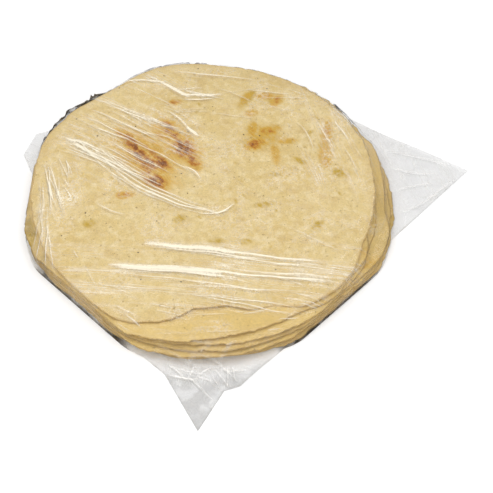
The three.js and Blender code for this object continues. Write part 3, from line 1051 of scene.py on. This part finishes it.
def film_material():
    material, surface, spot = new_material("clear_bag_film")
    x, y, _ = spot.parts()
    folds = 0.0
    for turn, x_bounds, y_bounds in PULLS:
        ridge = spot.stretched(math.radians(turn), PULL_LINE).ridged(1.0, 2.0, 0.6, 14.0)
        bundle = spot.stretched(math.radians(turn), PULL_BUNDLE).noise(1.0).eased(0.44, 0.64)
        folds = ridge * (x.eased(*x_bounds) * y.eased(*y_bounds)) * bundle + folds
    folds = folds * y.eased(*PULL_END)
    wrinkle = spot.ridged(130.0, 3.0, 0.6, 12.0) * spot.noise(28.0).eased(0.46, 0.64)
    height = folds + wrinkle * 0.5
    bump = surface.node("ShaderNodeBump", {}, {"Strength": 0.6, "Distance": FILM_BUMP, "Height": height})
    facing = surface.node("ShaderNodeLayerWeight", {}, {"Blend": 0.5, "Normal": bump}, "Facing")
    shine = FILM_SHINE + facing**5.0 * GRAZING_SHINE
    clear = surface.node("ShaderNodeBsdfTransparent", {}, {"Color": FILM_TINT})
    gloss = {"Base Color": FILM_GLOSS, "Metallic": 1.0, "Roughness": 0.12, "Normal": bump}
    mirror = surface.node("ShaderNodeBsdfPrincipled", {}, gloss)
    film = surface.node("ShaderNodeMixShader", {}, {0: shine, 1: clear, 2: mirror})
    crush = spot.noise(300.0, 3.0, 0.6)
    tone = mixed(crush.eased(0.35, 0.65), BUNCH_SHADE_DARK, BUNCH_SHADE_GREY)
    dull = {"Base Color": tone, "Roughness": 0.5, "Specular IOR Level": 0.2}
    bunched_and_shaded = surface.node("ShaderNodeBsdfPrincipled", {}, dull)
    # Painted highlights: crests, crease lines, the crushed patch's squiggles and the fine folds and wrinkles
    # are mixed towards a pale shader, standing in for the lamps that the creased film mirrors
    glint_crest = surface.attribute("glint_crest")
    middle_x, middle_y, spread = CRUSHED
    crushed = (1.0 - ((x - middle_x) ** 2.0 + (y - middle_y) ** 2.0).math("SQRT") / spread).eased()
    squiggle = spot.ridged(340.0, 2.0, 0.5, 8.0) * crushed
    reach = (x * x + y * y).math("SQRT")
    calm = 1.0 - reach.eased(*CALM_BOUNDS) * CALM_SHARE
    glint = glint_crest * crush.eased(0.3, 0.6) * 0.4 + squiggle * 0.9 + (folds * 0.55 + wrinkle * 0.36) * calm
    shade = 0.0
    wobble = (spot.noise(120.0, 2.0) - 0.5) * 0.9
    for channel in range(LINE_CHANNELS):
        offset, strength, width = surface.attribute(f"line_{channel}", "Vector").parts()
        core = (1.0 - abs(offset + wobble) / width).eased()
        threads = (offset * 1.3).vector(x * 14.0, y * 14.0)
        strand = 0.4 + threads.noise(1.0, 2.0, 0.6).eased(0.36, 0.6) * 0.6
        halo = (1.0 - abs(offset) / (width + HALO_WIDTH)).eased() * HALO_SHARE
        glint = glint + (core * strand * 0.95 + halo) * strength
        shadow = (1.0 - abs(offset + wobble + width * 1.7) / width).eased() * strength
        shade = shadow * 0.4 / (1.0 + width) + shade
    # The pale shader of the painted highlights
    glint_colour = mixed(reach.eased(*GLEAM_BOUNDS), GLEAM_CREAM, GLEAM_WHITE)
    glint_finish = {"Base Color": glint_colour, "Roughness": 0.35, "Normal": bump}
    painted_glint = surface.node("ShaderNodeBsdfPrincipled", {}, glint_finish)
    film = surface.node("ShaderNodeMixShader", {}, {0: glint.math("MINIMUM", GLEAM_LIMIT), 1: film, 2: painted_glint})
    # Painted shade beside each crease line and at the shaded edges, with the bunched mouth, darkens the film
    bunch_and_shade_share = surface.attribute("bunch_and_shade") * (0.4 + spot.noise(70.0, 2.0).eased(0.35, 0.55) * 0.6) + shade
    surface.node("ShaderNodeMixShader", {}, {0: bunch_and_shade_share, 1: film, 2: bunched_and_shaded}).feed(surface.socket)
    return material


mesh = bpy.data.meshes.new("bag_film")
mesh.from_pydata(corners.tolist(), [], film_faces)
mesh.shade_smooth()
for name, values in (("bunch_and_shade", bunch_and_shade), ("glint_crest", glint_crest)):
    store(mesh, name, "FLOAT", np.concatenate(((0.0,), values.ravel(), (0.0,))))
no_line = np.array(((LINE_BAND, 0.0, 1.0),))
for channel in range(LINE_CHANNELS):
    store(mesh, f"line_{channel}", "FLOAT_VECTOR", np.concatenate((no_line, lines[channel], no_line)))
mesh.materials.append(film_material())
bag = placed("bag_film", mesh)
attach(bag, "root")
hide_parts("tlayuda_bag")

# The studio
# A plain pale floor that the bag lies on, under the soft light of four wide lamps in a pale room. The camera
# looks down at the bag from the front.
CAMERA_TARGET = Vector((37.5 * MM, -55 * MM, 0))
CAMERA_DISTANCE = 1.15
CAMERA_ELEVATION = math.radians(53)
CAMERA_LENS = 83.975
CAMERA_SENSOR = 36.0
FLOOR_SIZE = 6.0
FLOOR_HEIGHT = -0.4 * MM
FLOOR_DIM = (0.95, 0.95, 0.95, 1.0)
FLOOR_PALE = (0.97, 0.97, 0.97, 1.0)
ROOM_COLOUR = (1.0, 1.0, 1.0, 1.0)
ROOM_LIGHT = 0.68

scene = bpy.context.scene
scene.view_settings.view_transform = "Standard"
half = FLOOR_SIZE / 2
floor_mesh = bpy.data.meshes.new("floor")
floor_plan = ((-half, -half), (half, -half), (half, half), (-half, half))
floor_mesh.from_pydata([(x, y, FLOOR_HEIGHT) for x, y in floor_plan], [], [(0, 1, 2, 3)])
floor_paint, surface, spot = new_material("pale_floor")
tone = mixed(spot.noise(3.0), FLOOR_DIM, FLOOR_PALE)
surface.node("ShaderNodeBsdfPrincipled", {}, {"Base Color": tone, "Roughness": 0.9}).feed(surface.socket)
floor_mesh.materials.append(floor_paint)
floor = placed("floor", floor_mesh)

world = bpy.data.worlds.new("pale_room")
scene.world = world
world.use_nodes = True
background = world.node_tree.nodes["Background"].inputs
background["Color"].default_value = ROOM_COLOUR
background["Strength"].default_value = ROOM_LIGHT

# The lamps: middle and size in metres, and how bright the face is. The one in front is turned to the bag, and
# the others face straight down.
LAMPS = {
    "softbox_over": ((-0.2, -0.25, 1.4), (1.8, 1.1), 1.78),
    "softbox_left": ((-1.15, 0.7, 1.4), (0.3, 0.8), 3.0),
    "softbox_right": ((0.95, 0.6, 1.4), (0.25, 0.8), 2.5),
    "softbox_front": ((0.1, -1.3, 0.9), (1.4, 0.5), 2.05),
}
for name, (place, (wide, deep), brightness) in LAMPS.items():
    lamp = bpy.data.lights.new(name, "AREA")
    lamp.shape = "RECTANGLE"
    lamp.size, lamp.size_y = wide, deep
    lamp.energy = brightness * math.pi * wide * deep
    softbox = placed(name, lamp)
    softbox.location = place
    if name == "softbox_front":
        softbox.rotation_euler = (-Vector(place)).to_track_quat("-Z", "Y").to_euler()

camera = placed("camera", bpy.data.cameras.new("camera"))
camera.data.lens = CAMERA_LENS
camera.data.sensor_width = CAMERA_SENSOR
to_camera = Vector((0, -math.cos(CAMERA_ELEVATION), math.sin(CAMERA_ELEVATION)))
camera.location = CAMERA_TARGET + to_camera * CAMERA_DISTANCE
camera.rotation_euler = (-to_camera).to_track_quat("-Z", "Y").to_euler()
scene.camera = camera
